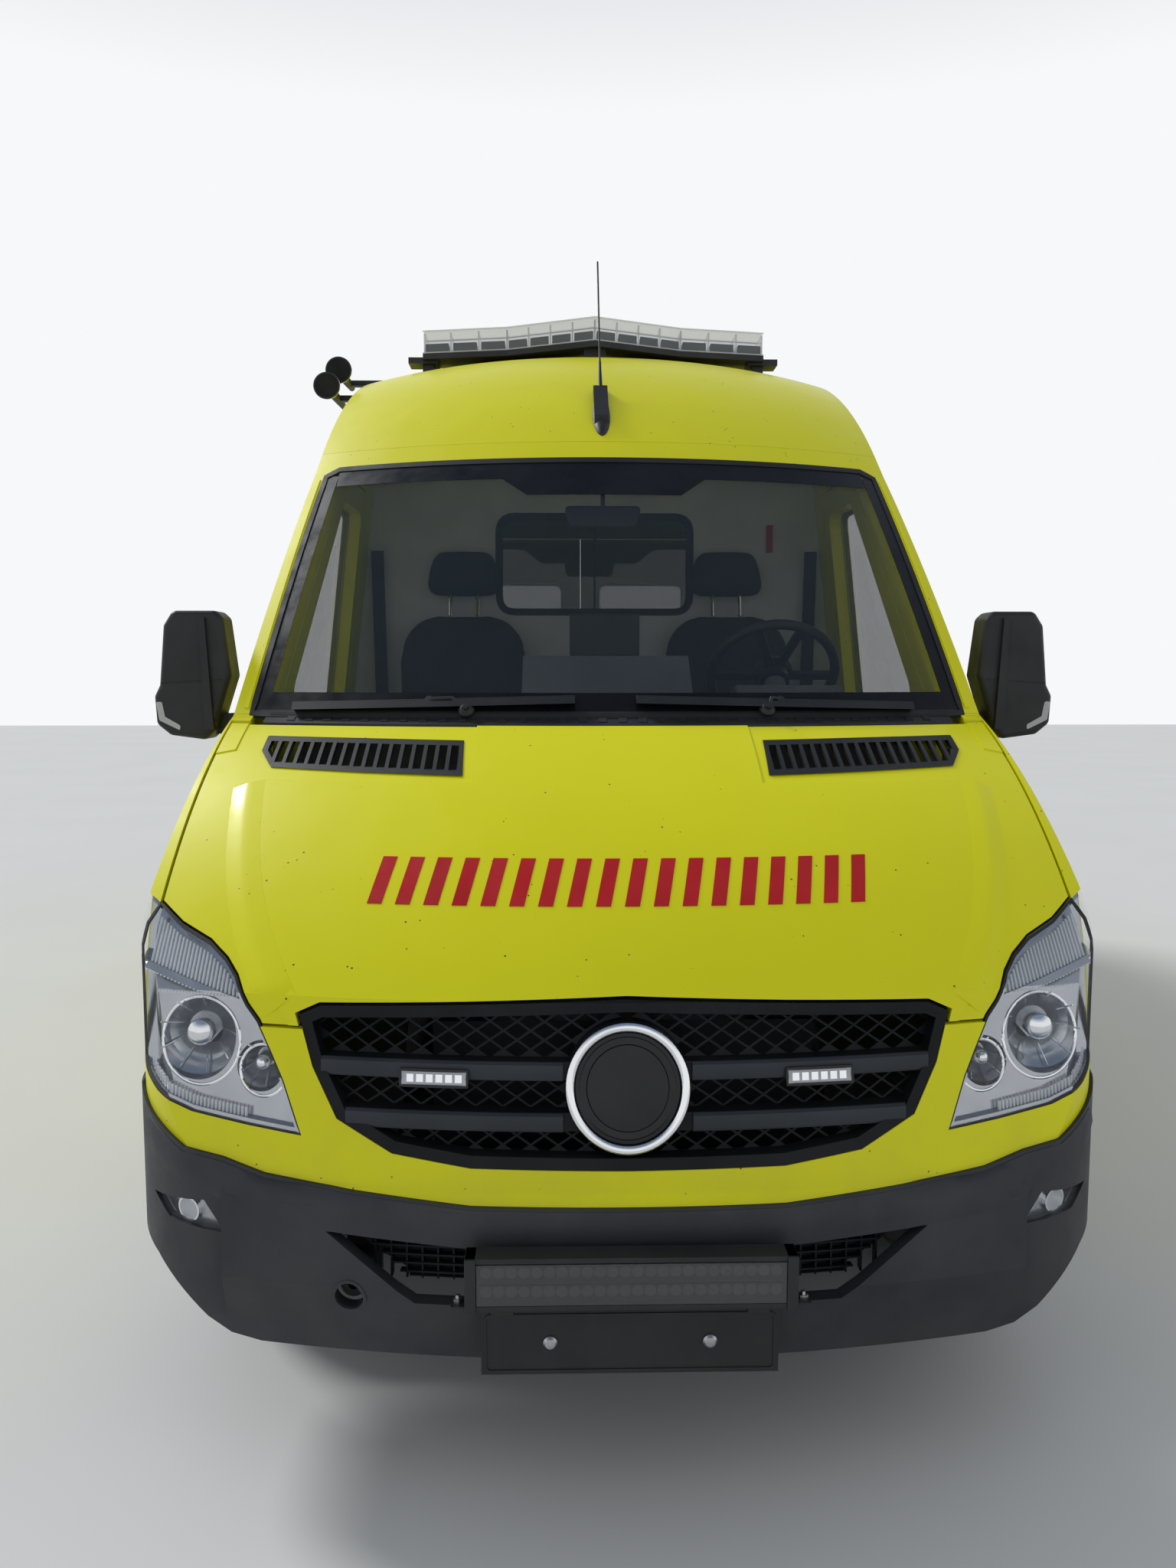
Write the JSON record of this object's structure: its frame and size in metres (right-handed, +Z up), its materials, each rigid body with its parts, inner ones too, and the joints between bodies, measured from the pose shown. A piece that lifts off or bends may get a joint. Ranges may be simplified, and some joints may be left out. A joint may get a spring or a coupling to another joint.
{
  "type": "ambulance",
  "caption": "High-roof van ambulance in lime yellow with dark bumper, blue-light bar on the roof, hinged cab doors, bonnet and rear doors, steered front wheels.",
  "frame": {"origin": "on the ground under the middle of the overall box", "axes": "+X to the vehicle's left, +Y to its tail, +Z up; the nose faces -Y"},
  "size_m": [2.4394, 5.985, 2.9265],
  "materials": {
    "alloy": "cast",
    "black_plastic": "grained black",
    "body_yellow": "gloss lime yellow",
    "bumper_grey": "grained dark grey",
    "cast_iron": "machined and sooty",
    "exhaust_steel": "dull",
    "floor_grey": "speckled grey",
    "frame_black": "satin black",
    "glass": "lightly tinted",
    "grey_trim": "grained grey",
    "grille_black": "satin black",
    "lamp_clear": "clear",
    "lamp_red": "clear red",
    "lamp_reflector": "silvered and dark grey",
    "light_panel": "light grey panel",
    "seat_fabric": "woven dark grey",
    "steel_silver": "satin silver",
    "tyre_rubber": "matt"
  },
  "bodies": {
    "vehicle": {"aerial": "black_plastic", "air_horns": "steel_silver", "body_side_left": "body_yellow", "body_side_right": "body_yellow", "bulkhead": "light_panel", "cowl": "black_plastic", "cross_members": "frame_black", "dashboard": "grey_trim", "driving_light_bar": "black_plastic", "engine": "alloy", "exhaust": "exhaust_steel", "floor_pan": "floor_grey", "frame_rails": "frame_black", "front_bumper": "bumper_grey", "front_frame": "body_yellow", "front_panel": "body_yellow", "front_suspension": "frame_black", "front_wings": "body_yellow", "fuel_tank": "black_plastic", "grille": "grille_black", "headlamp_lenses": "lamp_clear", "headlamps": "lamp_reflector", "light_bar_lens": "lamp_clear", "nose_lamps": "lamp_clear", "plate_holder": "black_plastic", "radiator": "alloy", "rear_axle": "frame_black", "rear_bumper": "black_plastic", "rear_lamps": "lamp_red", "roof": "body_yellow", "roof_light_bar": "black_plastic", "seats": "seat_fabric", "side_windows": "glass", "sliding_door": "body_yellow", "wheelhouses": "black_plastic", "windscreen": "glass", "wipers": "black_plastic"},
    "bonnet": {"bonnet": "body_yellow", "bonnet_vents": "grille_black"},
    "front_door_left": {"front_door_left": "body_yellow", "front_door_glass_left": "glass", "mirror_left": "black_plastic"},
    "front_door_right": {"front_door_right": "body_yellow", "front_door_glass_right": "glass", "mirror_right": "black_plastic"},
    "rear_door_left": {"rear_door_left": "body_yellow", "rear_door_glass_left": "glass"},
    "rear_door_right": {"rear_door_right": "body_yellow", "rear_door_glass_right": "glass"},
    "knuckle_left": {"knuckle_left": "cast_iron"},
    "knuckle_right": {"knuckle_right": "cast_iron"},
    "steering_wheel": {"steering_wheel": "black_plastic"},
    "wheel_front_left": {"tyre_front_left": "tyre_rubber", "rim_front_left": "steel_silver"},
    "wheel_front_right": {"tyre_front_right": "tyre_rubber", "rim_front_right": "steel_silver"},
    "wheel_rear_left": {"tyre_rear_left": "tyre_rubber", "rim_rear_left": "steel_silver"},
    "wheel_rear_right": {"tyre_rear_right": "tyre_rubber", "rim_rear_right": "steel_silver"}
  },
  "joints": [
    {"name": "bonnet_hinge", "type": "hinge", "parent": "vehicle", "child": "bonnet", "pos_m": [0, -1.9325, 1.4], "axis": [-1, 0, 0], "range_deg": [0, 50]},
    {"name": "front_door_left_hinge", "type": "hinge", "parent": "vehicle", "child": "front_door_left", "pos_m": [0.924, -1.8655, 1.2], "axis": [0, 0, -1], "range_deg": [0, 68]},
    {"name": "front_door_right_hinge", "type": "hinge", "parent": "vehicle", "child": "front_door_right", "pos_m": [-0.924, -1.8655, 1.2], "axis": [0, 0, 1], "range_deg": [0, 68]},
    {"name": "rear_door_left_hinge", "type": "hinge", "parent": "vehicle", "child": "rear_door_left", "pos_m": [0.814, 2.9275, 1.5], "axis": [0, 0, -1], "range_deg": [0, 180]},
    {"name": "rear_door_right_hinge", "type": "hinge", "parent": "vehicle", "child": "rear_door_right", "pos_m": [-0.814, 2.9275, 1.5], "axis": [0, 0, 1], "range_deg": [0, 180]},
    {"name": "steer_left", "type": "hinge", "parent": "vehicle", "child": "knuckle_left", "pos_m": [0.795, -1.9135, 0.356], "axis": [0, 0, 1], "range_deg": [-38, 38]},
    {"name": "steer_right", "type": "hinge", "parent": "vehicle", "child": "knuckle_right", "pos_m": [-0.795, -1.9135, 0.356], "axis": [0, 0, 1], "range_deg": [-38, 38]},
    {"name": "steering_wheel_turn", "type": "hinge", "parent": "vehicle", "child": "steering_wheel", "pos_m": [0.51, -1.4675, 1.55], "axis": [0, 0.766, 0.6428], "range_deg": [-540, 540]},
    {"name": "spin_front_left", "type": "hinge", "parent": "knuckle_left", "child": "wheel_front_left", "pos_m": [0.855, -1.9135, 0.356], "axis": [1, 0, 0], "continuous": true},
    {"name": "spin_rear_left", "type": "hinge", "parent": "vehicle", "child": "wheel_rear_left", "pos_m": [0.855, 1.7515, 0.356], "axis": [1, 0, 0], "continuous": true},
    {"name": "spin_front_right", "type": "hinge", "parent": "knuckle_right", "child": "wheel_front_right", "pos_m": [-0.855, -1.9135, 0.356], "axis": [1, 0, 0], "continuous": true},
    {"name": "spin_rear_right", "type": "hinge", "parent": "vehicle", "child": "wheel_rear_right", "pos_m": [-0.855, 1.7515, 0.356], "axis": [1, 0, 0], "continuous": true}
  ],
  "couplings": [
    {"joint": "steer_right", "follows": "steer_left", "ratio": 1},
    {"joint": "steering_wheel_turn", "follows": "steer_left", "ratio": 14}
  ]
}
